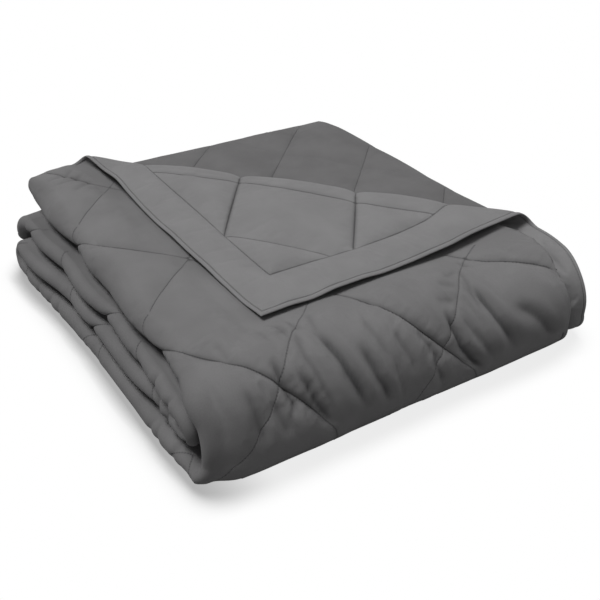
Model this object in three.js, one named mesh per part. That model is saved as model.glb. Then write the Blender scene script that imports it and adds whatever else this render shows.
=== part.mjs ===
import * as THREE from 'three';

// A quilted blanket, folded in three across its width and in four along its length,
// with the free corner of its top layer turned forward over the stack.
// Sizes are in millimetres: x runs to the right, y to the back and z up.

// The cloth: two shells with a soft fill between them, sewn through in diamonds.
const LAYER_PITCH = 9.6;
const SEAM_HALF = 1.6;
const EDGE_HALF = 1.7;
const FILL_HALF = 4.3;
const FREE_LOFT = 7;
const FLOOR_PRESS = 2.2;
const BORDER_WIDTH = 62;
const BORDER_LOFT = 0.3;
const BORDER_RISE = 45;
const LOFT_ROUNDNESS = 0.55;
const SEAM_SPACING = 170;

// The two families of seams: how far apart they are across and along, and where the first one lies.
// The laid layers are drawn a little out of square; the turned-back corner lies as it was sewn.
const LAID_SEAMS = [
  { name: 'falling', across: 193, along: 247, start: 0.72 },
  { name: 'rising', across: 250, along: -235, start: 0.44 },
];
const CORNER_SEAMS = [
  { name: 'falling', across: 190, along: 190, start: 0.187 },
  { name: 'rising', across: 240, along: -240, start: 0.42 },
];
const INNER_LAYER_SHIFT = 80;
const SEAMS_EACH_WAY = 14;

// The fold across the width, followed from the free right edge of the top layer.
// Each row is a flat layer with a length, or a bend with a radius and a turn in degrees.
const ACROSS = [
  { name: 'right border', length: BORDER_WIDTH, cells: 2 },
  { name: 'top layer', length: 484, cells: 13 },
  { name: 'left fold', radius: LAYER_PITCH, turn: 180, cells: 6 },
  { name: 'lower layer', length: 541, cells: 4 },
  { name: 'right fold', radius: LAYER_PITCH / 2, turn: 180, cells: 4 },
  { name: 'inner layer', length: 460, cells: 8 },
  { name: 'inner border', length: BORDER_WIDTH, cells: 1 },
];

// The fold along the length, followed from the free end of the top run.
// Left and right are where the run's folds come, and squeeze is how close its layers lie.
const ALONG = [
  { name: 'top run end', length: 62, cells: 3, left: -237, right: 263, squeeze: 1 },
  { name: 'top run', length: 388, cells: 10, left: -241, right: 267, squeeze: 1 },
  { name: 'top run front', length: 78, cells: 2, left: -246, right: 272, squeeze: 1 },
  { name: 'front top bend', radius: 55, turn: 90, cells: 6, left: -256, right: 265, squeeze: 1 },
  { name: 'front face', length: 14, cells: 1, left: -262, right: 264, squeeze: 1 },
  { name: 'front bottom bend', radius: 18, turn: 90, cells: 4, left: -269, right: 277, squeeze: 1 },
  { name: 'bottom run', length: 499, cells: 7, left: -269, right: 280, squeeze: 1 },
  { name: 'back fold', radius: 14.5, turn: 180, cells: 5, left: -283, right: 272, squeeze: 0.9 },
  { name: 'third run', length: 472, cells: 4, left: -261, right: 270, squeeze: 1 },
  { name: 'inner fold', radius: 14.5, turn: -180, cells: 4, left: -253, right: 270, squeeze: 0.9 },
  { name: 'second run', length: 474, cells: 5, left: -252, right: 268, squeeze: 1 },
  { name: 'second run end', radius: 46, turn: -78, cells: 5, left: -268, right: 264, squeeze: 1 },
];
const BACK_END = 308;
const BACK_HANG = 9;
const LOOSE_END = 0.5;
const LOOSE_REACH = 75;
const TOP_RUN_HEIGHT = 101.5;
const OUT_OF_SQUARE = 0.025;

// The turned-back corner: its fold lies across the top layer, square to the corner's diagonal.
const CORNER_SUM = 474;
const CORNER_ROLL = 9;
const CORNER_REST = 10.6;
const CORNER_SETTLE = 120;
const CORNER_SLIP = 0.13;
const CORNER_ROLL_STEPS = 7;
const COVER_ACROSS = 460;
const COVER_ALONG = 494;

// A cut that passes this close to a corner of the mesh goes through the corner.
const CUT_SNAP = 3;

const RADIANS = Math.PI / 180;

// The length of one row along the cloth.
function rowLength(row) {
  return row.length ?? Math.abs(row.turn) * RADIANS * row.radius;
}

function totalLength(rows) {
  return rows.reduce((sum, row) => sum + rowLength(row), 0);
}

const WIDTH = totalLength(ACROSS);
const LENGTH = totalLength(ALONG);
const TOP_LAYER_END = ACROSS[0].length + ACROSS[1].length;
const LEFT_FOLD_END = totalLength(ACROSS.slice(0, 3));
const RIGHT_FOLD_START = LEFT_FOLD_END + ACROSS[3].length;
const INNER_LAYER_START = RIGHT_FOLD_START + rowLength(ACROSS[4]);
const TOP_RUN_END = totalLength(ALONG.slice(0, 3));
const BOTTOM_RUN_END = totalLength(ALONG.slice(0, 7));
const FOLDED_WIDTH = TOP_LAYER_END + LAYER_PITCH;

// Follows rows of flats and bends from a start point, and stops after the given distance.
function follow(rows, start, heading, distance) {
  const at = { a: start.a, b: start.b, heading };
  let rest = distance;
  for (const row of rows) {
    const step = Math.min(rest, rowLength(row));
    if (row.length !== undefined) {
      at.a += step * Math.cos(at.heading);
      at.b += step * Math.sin(at.heading);
    } else {
      const side = Math.sign(row.turn);
      const next = at.heading + (side * step) / row.radius;
      at.a += side * row.radius * (Math.sin(next) - Math.sin(at.heading));
      at.b += side * row.radius * (Math.cos(at.heading) - Math.cos(next));
      at.heading = next;
    }
    rest -= step;
    if (rest <= 0) {
      break;
    }
  }
  return at;
}

// Blends a column of the lengthwise table from the middle of one row to the next.
function alongColumn(column, v) {
  let start = 0;
  let before = null;
  for (const row of ALONG) {
    const middle = start + rowLength(row) / 2;
    if (v <= middle) {
      if (before === null) {
        return row[column];
      }
      const share = THREE.MathUtils.smoothstep(v, before.middle, middle);
      return THREE.MathUtils.lerp(before.value, row[column], share);
    }
    before = { middle, value: row[column] };
    start += rowLength(row);
  }
  return before.value;
}

// How much further apart the layers come at the two free ends.
function looseness(v) {
  return LOOSE_END * (1 - THREE.MathUtils.smoothstep(Math.min(v, LENGTH - v), 0, LOOSE_REACH));
}

// How far the left folds wander in and out along the blanket.
function leftWander(v) {
  return 2 * Math.sin(v / 41 + 0.6) + 1.5 * Math.sin(v / 23);
}

// The middle of the cloth at u across and v along, before the corner is turned back.
function stackedPoint(u, v) {
  const path = follow(ALONG, { a: BACK_END, b: TOP_RUN_HEIGHT }, Math.PI, v);
  const section = follow(ACROSS, { a: 0, b: LAYER_PITCH }, Math.PI, u);
  const lift = section.b * (alongColumn('squeeze', v) + looseness(v));
  const leftness = -section.a / FOLDED_WIDTH;
  const left = alongColumn('left', v) + leftWander(v);
  const x = THREE.MathUtils.lerp(alongColumn('right', v), left, leftness);
  const hang = BACK_HANG * (1 - leftness) * Math.max(0, 1 - v / ALONG[0].length) ** 2;
  return new THREE.Vector3(
    x,
    path.a + lift * Math.sin(path.heading) - OUT_OF_SQUARE * x,
    path.b - lift * Math.cos(path.heading) - hang,
  );
}

function onTopLayer(u, v) {
  return u <= TOP_LAYER_END && v <= TOP_RUN_END;
}

// How far a point of the top layer lies beyond the fold of the turned-back corner.
function beyondCorner(u, v) {
  return onTopLayer(u, v) ? (CORNER_SUM - u - v) / Math.SQRT2 : -1;
}

// The middle of the cloth, with the corner rolled over and laid on the stack.
function middlePoint(u, v) {
  const beyond = beyondCorner(u, v);
  if (beyond <= 0) {
    return stackedPoint(u, v);
  }
  const foot = stackedPoint(u + beyond / Math.SQRT2, v + beyond / Math.SQRT2);
  const outward = new THREE.Vector3(Math.SQRT1_2, Math.SQRT1_2, 0);
  const sideways = new THREE.Vector3(Math.SQRT1_2, -Math.SQRT1_2, 0);
  const roll = Math.PI * CORNER_ROLL;
  if (beyond < roll) {
    const angle = beyond / CORNER_ROLL;
    foot.addScaledVector(outward, CORNER_ROLL * Math.sin(angle));
    foot.z += CORNER_ROLL * (1 - Math.cos(angle));
    return foot;
  }
  const past = beyond - roll;
  foot.addScaledVector(outward, -past);
  foot.addScaledVector(sideways, CORNER_SLIP * past);
  foot.z += CORNER_REST + (2 * CORNER_ROLL - CORNER_REST) * Math.exp(-((past / CORNER_SETTLE) ** 2));
  return foot;
}

// The direction the outer shell faces at one place on the cloth.
function facing(u, v) {
  const reach = 0.5;
  const acrossTo = middlePoint(Math.min(u + reach, WIDTH), v);
  const acrossFrom = middlePoint(Math.max(u - reach, 0), v);
  const alongTo = middlePoint(u, Math.min(v + reach, LENGTH));
  const alongFrom = middlePoint(u, Math.max(v - reach, 0));
  return acrossTo.sub(acrossFrom).cross(alongTo.sub(alongFrom)).normalize();
}

// Counts the seams of one family from the corner of the blanket to a place on it.
function seamCount(family, u, v) {
  const folded = THREE.MathUtils.smoothstep(u, RIGHT_FOLD_START, INNER_LAYER_START);
  return (u - INNER_LAYER_SHIFT * folded) / family.across + v / family.along - family.start;
}

// How far across a diamond a place is, from 0 on its seams to 1 halfway between them.
function betweenSeams(count) {
  const wave = Math.abs(Math.sin(Math.PI * count));
  const seam = Math.sin((Math.PI * CUT_SNAP) / SEAM_SPACING);
  return Math.max(0, wave - seam) / (1 - seam);
}

// How full the fill is, from 0 on a line of stitching to 1 in the middle of a diamond.
function fullness(u, v) {
  const edge = Math.min(u, WIDTH - u, v, LENGTH - v);
  if (edge < BORDER_WIDTH) {
    return BORDER_LOFT * Math.sqrt(Math.max(0, Math.sin((Math.PI * edge) / BORDER_WIDTH)));
  }
  const families = beyondCorner(u, v) > 0 ? CORNER_SEAMS : LAID_SEAMS;
  const [falling, rising] = families.map((family) => betweenSeams(seamCount(family, u, v)));
  const inside = Math.min(1, (edge - BORDER_WIDTH) / BORDER_RISE);
  return Math.pow(falling * rising, LOFT_ROUNDNESS) * Math.sqrt(inside);
}

// The share of the outer shell's loft that is free to rise, with nothing lying on it.
function freeAbove(u, v) {
  const fade = THREE.MathUtils.smoothstep;
  if (beyondCorner(u, v) > 0) {
    return 0;
  }
  if (u <= LEFT_FOLD_END && v <= BOTTOM_RUN_END) {
    const acrossOpen = fade(u, COVER_ACROSS, COVER_ACROSS + 25);
    const alongOpen = fade(v, COVER_ALONG, COVER_ALONG + 25);
    const end = 1 - fade(v, BOTTOM_RUN_END - 40, BOTTOM_RUN_END);
    const side = 1 - fade(u, TOP_LAYER_END + 10, LEFT_FOLD_END);
    return (1 - (1 - acrossOpen) * (1 - alongOpen)) * end * side;
  }
  if (u > INNER_LAYER_START && v < TOP_RUN_END) {
    const sum = u - INNER_LAYER_START + v;
    return 0.5 * (1 - fade(sum, CORNER_SUM - 90, CORNER_SUM - 40));
  }
  return 0;
}

// The share of the under shell's loft that is free to rise on the turned-back corner.
function freeBelow(u, v) {
  const roll = Math.PI * CORNER_ROLL;
  return THREE.MathUtils.smoothstep(beyondCorner(u, v), 0, roll);
}

// A tight bend presses the fill thinner.
function bendThickness(u, v) {
  const tight = u > RIGHT_FOLD_START - 6 && u < INNER_LAYER_START + 6;
  const pressed = THREE.MathUtils.mapLinear(alongColumn('squeeze', v), 0.9, 1, 0.72, 1);
  return tight ? 0.62 : pressed;
}

// Both shells at one place on the cloth, pressed flat where the blanket lies on the floor.
function shellPoints(u, v) {
  const middle = middlePoint(u, v);
  const normal = facing(u, v);
  const full = fullness(u, v);
  const edge = Math.min(u, WIDTH - u, v, LENGTH - v);
  const sewn = edge < BORDER_WIDTH / 2 ? EDGE_HALF : SEAM_HALF;
  const fill = sewn + (FILL_HALF - sewn) * full * bendThickness(u, v);
  const outer = middle.clone().addScaledVector(normal, fill + FREE_LOFT * full * freeAbove(u, v));
  const under = middle.clone().addScaledVector(normal, -fill - FREE_LOFT * full * freeBelow(u, v));
  outer.z = outer.z < FLOOR_PRESS ? 0 : outer.z;
  return { outer, under };
}

// The places where the cells of a table's rows begin and end.
function gridLines(rows) {
  const lines = [0];
  for (const row of rows) {
    const start = lines[lines.length - 1];
    for (let cell = 1; cell <= row.cells; cell += 1) {
      lines.push(start + (rowLength(row) * cell) / row.cells);
    }
  }
  return lines;
}

// Whether the stitching of a cell shows: on the outside of the stack, or where the corner is turned back.
function stitchingShows(cell) {
  const [u0, v0] = cell[0];
  const [u1, v1] = cell[2];
  const covered = u0 + v0 > CORNER_SUM && u1 < COVER_ACROSS && v1 < COVER_ALONG;
  const outside = u1 <= LEFT_FOLD_END && v1 <= BOTTOM_RUN_END;
  const uncovered = u0 >= RIGHT_FOLD_START && u1 <= WIDTH - BORDER_WIDTH && v1 <= TOP_RUN_END;
  return (outside && !covered) || uncovered;
}

// Parts the polygons that a straight line crosses; corners close to the line are taken as on it.
function cutAlong(polygons, distanceTo) {
  const side = ([u, v]) => {
    const distance = distanceTo(u, v);
    return Math.abs(distance) < CUT_SNAP ? 0 : distance;
  };
  return polygons.flatMap((polygon) => {
    const ring = [];
    const sides = [];
    polygon.forEach((corner, i) => {
      const next = polygon[(i + 1) % polygon.length];
      const [here, there] = [side(corner), side(next)];
      ring.push(corner);
      sides.push(here);
      if (here * there < 0) {
        const share = here / (here - there);
        ring.push(corner.map((value, k) => THREE.MathUtils.lerp(value, next[k], share)));
        sides.push(0);
      }
    });
    const [from, to] = crossings(sides);
    if (to === undefined || to - from < 2 || from + ring.length - to < 2) {
      return [ring];
    }
    return [ring.slice(from, to + 1), [...ring.slice(to), ...ring.slice(0, from + 1)]];
  });
}

// The corners of a ring where a line passes from one side of it to the other.
function crossings(sides) {
  const around = [...sides, ...sides];
  return sides.map((side, i) => i).filter((i) => {
    const last = around[i + sides.length - 1];
    const next = around.slice(i).find((side) => side !== 0);
    return sides[i] === 0 && last * next < 0;
  });
}

// The flat cloth as rectangles between the lines of both tables.
function flatCells() {
  const across = gridLines(ACROSS);
  const along = gridLines(ALONG);
  const cells = [];
  for (let i = 0; i + 1 < across.length; i += 1) {
    for (let j = 0; j + 1 < along.length; j += 1) {
      const [u0, u1] = [across[i], across[i + 1]];
      const [v0, v1] = [along[j], along[j + 1]];
      cells.push([[u0, v0], [u1, v0], [u1, v1], [u0, v1]]);
    }
  }
  return cells;
}

// Adds to each polygon the corners of its neighbours that lie along its straight sides.
function joinNeighbours(polygons) {
  const named = new Map(polygons.flat().map((corner) => [cornerName(corner), corner]));
  const corners = [...named.values()];
  return polygons.map((polygon) => polygon.flatMap((from, i) => {
    const to = polygon[(i + 1) % polygon.length];
    const length = Math.hypot(to[0] - from[0], to[1] - from[1]);
    const along = [(to[0] - from[0]) / length, (to[1] - from[1]) / length];
    const reach = ([u, v]) => (u - from[0]) * along[0] + (v - from[1]) * along[1];
    const off = ([u, v]) => Math.abs((u - from[0]) * along[1] - (v - from[1]) * along[0]);
    const between = corners
      .filter((corner) => off(corner) < 1e-4 && reach(corner) > 1e-3 && reach(corner) < length - 1e-3)
      .sort((a, b) => reach(a) - reach(b));
    return [from, ...between];
  }));
}

function cornerName([u, v]) {
  return `${u.toFixed(4)} ${v.toFixed(4)}`;
}

function middleOf(polygon) {
  return [0, 1].map((k) => polygon.reduce((sum, corner) => sum + corner[k], 0) / polygon.length);
}

// Parts polygons along every seam of both families.
function cutAlongSeams(polygons, families) {
  let parted = polygons;
  for (const family of families) {
    for (let seam = -SEAMS_EACH_WAY; seam <= SEAMS_EACH_WAY; seam += 1) {
      parted = cutAlong(parted, (u, v) => SEAM_SPACING * (seamCount(family, u, v) - seam));
    }
  }
  return parted;
}

// The flat cloth as polygons, parted along the stitching that shows and along the rolled corner.
function flatPolygons() {
  const cells = flatCells();
  const plain = cells.filter((cell) => !stitchingShows(cell));
  let quilted = cells.filter((cell) => stitchingShows(cell));
  const roll = Math.PI * CORNER_ROLL * Math.SQRT2;
  for (let step = 0; step <= CORNER_ROLL_STEPS; step += 1) {
    const at = CORNER_SUM - (roll * step) / CORNER_ROLL_STEPS;
    quilted = cutAlong(quilted, (u, v) => u + v - at);
  }
  const turnedBack = (polygon) => beyondCorner(...middleOf(polygon)) > 0;
  const corner = cutAlongSeams(quilted.filter(turnedBack), CORNER_SEAMS);
  const laid = cutAlongSeams(quilted.filter((polygon) => !turnedBack(polygon)), LAID_SEAMS);
  return joinNeighbours([...plain, ...laid, ...corner]);
}

// Parts a polygon into a fan of triangles, from a corner in line with none of its sides or from its middle.
function fanOf(polygon) {
  const area = ([a, b, c]) => (b[0] - a[0]) * (c[1] - a[1]) - (b[1] - a[1]) * (c[0] - a[0]);
  const fans = polygon.map((hub, k) => {
    const others = [...polygon.slice(k + 1), ...polygon.slice(0, k)];
    return others.slice(1).map((corner, i) => [hub, others[i], corner]);
  });
  const middle = middleOf(polygon);
  const around = polygon.map((corner, i) => [middle, corner, polygon[(i + 1) % polygon.length]]);
  return fans.find((fan) => fan.every((triangle) => area(triangle) > 1)) ?? around;
}

// Closes the two shells of the cloth into one body, with a narrow edge all round.
function blanketGeometry() {
  const positions = [];
  const faces = [];
  const placed = new Map();
  const edges = new Map();
  const vertex = (corner) => {
    const name = cornerName(corner);
    if (!placed.has(name)) {
      const { outer, under } = shellPoints(...corner);
      placed.set(name, positions.length / 3);
      positions.push(outer.x, outer.y, outer.z, under.x, under.y, under.z);
    }
    return placed.get(name);
  };
  for (const triangle of flatPolygons().flatMap(fanOf)) {
    const [a, b, c] = triangle.map(vertex);
    faces.push(a, b, c, c + 1, b + 1, a + 1);
    for (const [from, to] of [[a, b], [b, c], [c, a]]) {
      edges.set(`${from} ${to}`, [from, to]);
    }
  }
  for (const [from, to] of edges.values()) {
    if (!edges.has(`${to} ${from}`)) {
      faces.push(to, from, from + 1, to, from + 1, to + 1);
    }
  }
  const geometry = new THREE.BufferGeometry();
  geometry.setAttribute('position', new THREE.Float32BufferAttribute(positions, 3));
  geometry.setIndex(faces);
  geometry.computeBoundingBox();
  const centre = geometry.boundingBox.getCenter(new THREE.Vector3());
  geometry.translate(-centre.x, -centre.y, 0);
  geometry.computeVertexNormals();
  return geometry;
}

const blanket = new THREE.Mesh(
  blanketGeometry(),
  new THREE.MeshStandardMaterial({ color: 0x6f7072, roughness: 0.85, metalness: 0 }),
);
blanket.name = 'quilted_blanket';

const part = new THREE.Group();
part.name = 'folded_blanket';
part.add(blanket);

export default part;
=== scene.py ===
import math

import bpy
import numpy as np
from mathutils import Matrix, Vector


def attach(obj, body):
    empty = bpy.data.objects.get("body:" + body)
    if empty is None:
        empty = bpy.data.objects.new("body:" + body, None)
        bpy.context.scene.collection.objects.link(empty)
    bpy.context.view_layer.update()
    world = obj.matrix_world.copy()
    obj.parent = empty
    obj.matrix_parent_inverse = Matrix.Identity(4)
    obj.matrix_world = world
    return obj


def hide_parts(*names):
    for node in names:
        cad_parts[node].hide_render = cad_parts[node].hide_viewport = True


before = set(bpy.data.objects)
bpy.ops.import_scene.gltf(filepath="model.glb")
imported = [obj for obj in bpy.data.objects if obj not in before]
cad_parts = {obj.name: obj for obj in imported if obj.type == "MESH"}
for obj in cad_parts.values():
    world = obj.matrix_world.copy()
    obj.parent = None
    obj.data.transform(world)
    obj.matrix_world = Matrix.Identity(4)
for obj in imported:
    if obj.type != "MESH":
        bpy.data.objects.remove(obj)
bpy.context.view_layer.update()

# Quilted blanket: two shells of brushed grey microfibre with a thin fill between them, sewn through in
# diamonds and closed at the edge by a plain border. It is folded in three across and in four along, and
# the free corner of its top layer is turned forward over the stack. Sizes here are in millimetres.
MM = 0.001
LAYER_PITCH = 9.6
SEAM_HALF = 1.3
FILL_HALF = 4.3
FREE_LOFT = 7.0
FLOOR_PRESS = 2.2
EDGE_BEAD = 6.0
BORDER_WIDTH = 62.0
BORDER_LOFT = 0.3
BORDER_RISE = 45.0
LOFT_ROUNDNESS = 0.55

# The fold across the width, from the free right edge of the top layer, and the fold along the length,
# from the free end of the top run. A row is a flat layer with a length, or a bend with a radius and a
# turn in degrees; left and right are where the run's folds come, and squeeze is how close its layers lie,
# which is 1 where it isn't given.
FOLD_ACROSS = [
    {"name": "edge bead", "length": EDGE_BEAD, "cells": 1},
    {"name": "right border", "length": BORDER_WIDTH - EDGE_BEAD, "cells": 3},
    {"name": "top layer", "length": 484, "cells": 24},
    {"name": "left fold", "radius": LAYER_PITCH, "turn": 180, "cells": 2},
    {"name": "lower layer", "length": 541, "cells": 10},
    {"name": "right fold", "radius": LAYER_PITCH / 2, "turn": 180, "cells": 2},
    {"name": "inner layer", "length": 460, "cells": 23},
    {"name": "inner border", "length": BORDER_WIDTH - EDGE_BEAD, "cells": 3},
    {"name": "inner bead", "length": EDGE_BEAD, "cells": 1},
]
FOLD_ALONG = [
    {"name": "edge bead", "length": EDGE_BEAD, "cells": 1, "left": -237, "right": 263},
    {"name": "top run end", "length": 56, "cells": 3, "left": -237, "right": 263},
    {"name": "top run", "length": 388, "cells": 19, "left": -241, "right": 267},
    {"name": "top run front", "length": 78, "cells": 5, "left": -246, "right": 272},
    {"name": "front top bend", "radius": 55, "turn": 90, "cells": 6, "left": -256, "right": 265},
    {"name": "front face", "length": 14, "cells": 1, "left": -262, "right": 268},
    {"name": "front bottom bend", "radius": 18, "turn": 90, "cells": 3, "left": -269, "right": 273},
    {"name": "bottom run", "length": 499, "cells": 20, "left": -269, "right": 280},
    {"name": "back fold", "radius": 14.5, "turn": 180, "cells": 4,
     "left": -283, "right": 272, "squeeze": 0.9},
    {"name": "third run", "length": 472, "cells": 18, "left": -264, "right": 270},
    {"name": "inner fold", "radius": 14.5, "turn": -180, "cells": 4,
     "left": -262, "right": 270, "squeeze": 0.9},
    {"name": "second run", "length": 474, "cells": 18, "left": -256, "right": 268},
    {"name": "second run end", "radius": 46, "turn": -78, "cells": 3, "left": -268, "right": 264},
]
BACK_END = 308.0
BACK_HANG = 9.0
LOOSE_END = 0.5
LOOSE_REACH = 75.0
TOP_RUN_HEIGHT = 101.5
OUT_OF_SQUARE = 0.025
FOLD_PINCH = 0.24
FRONT_PINCH = 0.34
PINCH_REACH = 34.0

# The seams of the laid layers and of the turned-back corner: their spacing along each edge, how far the
# inner layer's are shifted and drawn closer, and the share of the loft that a loosely sewn seam leaves.
LAID_SEAMS = [
    {"name": "falling", "across": 193, "along": 247, "start": 0.72,
     "inner_shift": 61, "inner_closer": (0, 0), "shallow": 0.0},
    {"name": "rising", "across": 250, "along": -235, "start": 0.44,
     "inner_shift": 92, "inner_closer": (0.3245, -1.126), "shallow": 0.35},
]
CORNER_SEAMS = [
    {"name": "falling", "across": 190, "along": 190, "start": 0.187},
    {"name": "rising", "across": 240, "along": -240, "start": 0.42},
]
SEAM_GAP = 152.0
# Places where the laid seams are pulled out of line: across, along, and how far in millimetres.
SEAM_PULLS = [
    (540, 500, -12),
    (400, 640, 14),
    (320, 490, 6),
    (180, 640, 24),
    (140, 520, -8),
    (40, 600, 12),
    (440, 300, 12),
]
SEAM_PULL_REACH = 85.0

# The turned-back corner: its fold lies across the top layer, square to the corner's diagonal.
CORNER_SUM = 474.0
CORNER_ROLL = 9.0
CORNER_REST = 10.6
CORNER_SETTLE = 120.0
CORNER_SLIP = 0.13
COVER_ACROSS = 460.0
COVER_ALONG = 494.0
COVER_RISE = 25.0
BARED_LOFT = 0.5


def row_length(row):
    return row["length"] if "length" in row else math.radians(abs(row["turn"])) * row["radius"]


def reach_of(rows, name):
    names = [row["name"] for row in rows]
    return sum(row_length(row) for row in rows[: names.index(name) + 1])


WIDTH = reach_of(FOLD_ACROSS, "inner bead")
LENGTH = reach_of(FOLD_ALONG, "second run end")
TOP_LAYER_END = reach_of(FOLD_ACROSS, "top layer")
LEFT_FOLD_END = reach_of(FOLD_ACROSS, "left fold")
RIGHT_FOLD_START = reach_of(FOLD_ACROSS, "lower layer")
INNER_LAYER_START = reach_of(FOLD_ACROSS, "right fold")
TOP_RUN_END = reach_of(FOLD_ALONG, "top run front")
FRONT_END = reach_of(FOLD_ALONG, "front bottom bend")
BOTTOM_RUN_END = reach_of(FOLD_ALONG, "bottom run")
FOLDED_WIDTH = TOP_LAYER_END + LAYER_PITCH


def fade(value, start, end):
    """A smooth change from 0 at the start to 1 at the end."""
    share = np.clip((value - start) / (end - start), 0, 1)
    return share * share * (3 - 2 * share)


def rise_and_fall(value, start, full, last, end):
    """0 up to the start, 1 from full to last, and 0 again from the end."""
    return fade(value, start, full) * (1 - fade(value, last, end))


def follow(rows, start, heading, distance):
    """Follows flats and bends from a start point and returns place and heading after each distance."""
    a = np.full_like(distance, start[0])
    b = np.full_like(distance, start[1])
    turned = np.full_like(distance, heading)
    rest = distance.copy()
    for row in rows:
        step = np.clip(rest, 0, row_length(row))
        if "length" in row:
            a += step * np.cos(turned)
            b += step * np.sin(turned)
        else:
            side = math.copysign(1, row["turn"])
            after = turned + side * step / row["radius"]
            a += side * row["radius"] * (np.sin(after) - np.sin(turned))
            b += side * row["radius"] * (np.cos(turned) - np.cos(after))
            turned = after
        rest = rest - step
    return a, b, turned


def along_column(column, v):
    """Blends a column of the lengthwise table from the middle of one row to the next."""
    lengths = np.array([row_length(row) for row in FOLD_ALONG])
    middles = np.cumsum(lengths) - lengths / 2
    values = np.array([row.get(column, 1) for row in FOLD_ALONG], float)
    k = np.clip(np.searchsorted(middles, v) - 1, 0, len(middles) - 2)
    return values[k] + (values[k + 1] - values[k]) * fade(v, middles[k], middles[k + 1])


def at_front(v):
    """1 on the rounded front, and less towards the top and bottom runs."""
    return rise_and_fall(v, TOP_RUN_END - 40, TOP_RUN_END + 20, FRONT_END, FRONT_END + 50)


def round_left_edge(u, reach):
    """1 round the left fold, and less within a reach on both layers beside it."""
    return rise_and_fall(u, TOP_LAYER_END - reach, TOP_LAYER_END, LEFT_FOLD_END, LEFT_FOLD_END + reach)


def stacked_place(u, v):
    """The middle of the cloth at u across and v along, before the corner is turned back."""
    a, b, heading = follow(FOLD_ALONG, (BACK_END, TOP_RUN_HEIGHT), math.pi, v)
    across, up, _ = follow(FOLD_ACROSS, (0.0, LAYER_PITCH), math.pi, u)
    loose = LOOSE_END * (1 - fade(np.minimum(v, LENGTH - v), 0, LOOSE_REACH))
    pinch = round_left_edge(u, PINCH_REACH) * (FOLD_PINCH + FRONT_PINCH * at_front(v))
    lift = up * (along_column("squeeze", v) + loose) * (1 - pinch)
    leftness = -across / FOLDED_WIDTH
    wander = 1 - rise_and_fall(v, TOP_RUN_END, FRONT_END, BOTTOM_RUN_END - 40, BOTTOM_RUN_END)
    left = along_column("left", v) + wander * (2 * np.sin(v / 41 + 0.6) + 1.5 * np.sin(v / 23))
    x = along_column("right", v) * (1 - leftness) + left * leftness
    hang = BACK_HANG * (1 - leftness) * np.clip(1 - v / BORDER_WIDTH, 0, 1) ** 2
    y = a + lift * np.sin(heading) - OUT_OF_SQUARE * x
    return np.stack([x, y, b - lift * np.cos(heading) - hang], -1)


def beyond_corner(u, v):
    """How far a place of the top layer lies beyond the fold of the turned-back corner."""
    on_top = (u <= TOP_LAYER_END) & (v <= TOP_RUN_END)
    return np.where(on_top, (CORNER_SUM - u - v) / math.sqrt(2), -1.0)


def middle_place(u, v):
    """The middle of the cloth, with the corner rolled over and laid on the stack."""
    beyond = np.maximum(beyond_corner(u, v), 0)
    place = stacked_place(u + beyond / math.sqrt(2), v + beyond / math.sqrt(2))
    roll = math.pi * CORNER_ROLL
    angle = np.minimum(beyond, roll) / CORNER_ROLL
    past = np.maximum(beyond - roll, 0)
    outward = np.where(beyond < roll, CORNER_ROLL * np.sin(angle), -past) * math.sqrt(0.5)
    sideways = CORNER_SLIP * past * math.sqrt(0.5)
    laid = CORNER_REST + (2 * CORNER_ROLL - CORNER_REST) * np.exp(-((past / CORNER_SETTLE) ** 2))
    rise = np.where(beyond < roll, CORNER_ROLL * (1 - np.cos(angle)), laid)
    return place + np.stack([outward + sideways, outward - sideways, np.where(beyond > 0, rise, 0)], -1)


def facing(u, v):
    """The direction that the outer shell faces."""
    reach = 0.5
    across = middle_place(np.minimum(u + reach, WIDTH), v) - middle_place(np.maximum(u - reach, 0), v)
    along = middle_place(u, np.minimum(v + reach, LENGTH)) - middle_place(u, np.maximum(v - reach, 0))
    normal = np.cross(across, along)
    return normal / np.linalg.norm(normal, axis=-1, keepdims=True)


def seam_counts(u, v, turned_back):
    """How many seams of each family lie between the blanket's corner and a place on it."""
    inner = fade(u, RIGHT_FOLD_START, INNER_LAYER_START)
    laid = [(u - s["inner_shift"] * inner) / s["across"] + v / s["along"] - s["start"] for s in LAID_SEAMS]
    laid = [c + inner * (c * s["inner_closer"][0] + s["inner_closer"][1]) for s, c in zip(LAID_SEAMS, laid)]
    for across, along, pull in SEAM_PULLS:
        near = np.exp(-((u - across) ** 2 + (v - along) ** 2) / SEAM_PULL_REACH**2)
        laid[0] = laid[0] + pull / SEAM_GAP * near
    corner = [u / s["across"] + v / s["along"] - s["start"] for s in CORNER_SEAMS]
    return [np.where(turned_back, c, f) for c, f in zip(corner, laid)]


def edge_distance(u, v):
    return np.minimum(np.minimum(u, WIDTH - u), np.minimum(v, LENGTH - v))


def quilted_distance(u, v):
    """How far a place is inside the border; on the laid layers the back border hangs out of sight."""
    tucked = BORDER_WIDTH * ((beyond_corner(u, v) <= 0) & (v < TOP_RUN_END) & (u > BORDER_WIDTH))
    edge = edge_distance(u, v)
    side = np.minimum(u, WIDTH - u)
    return np.where(edge < EDGE_BEAD, edge, np.minimum(np.minimum(side, v + tucked), LENGTH - v))


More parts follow.
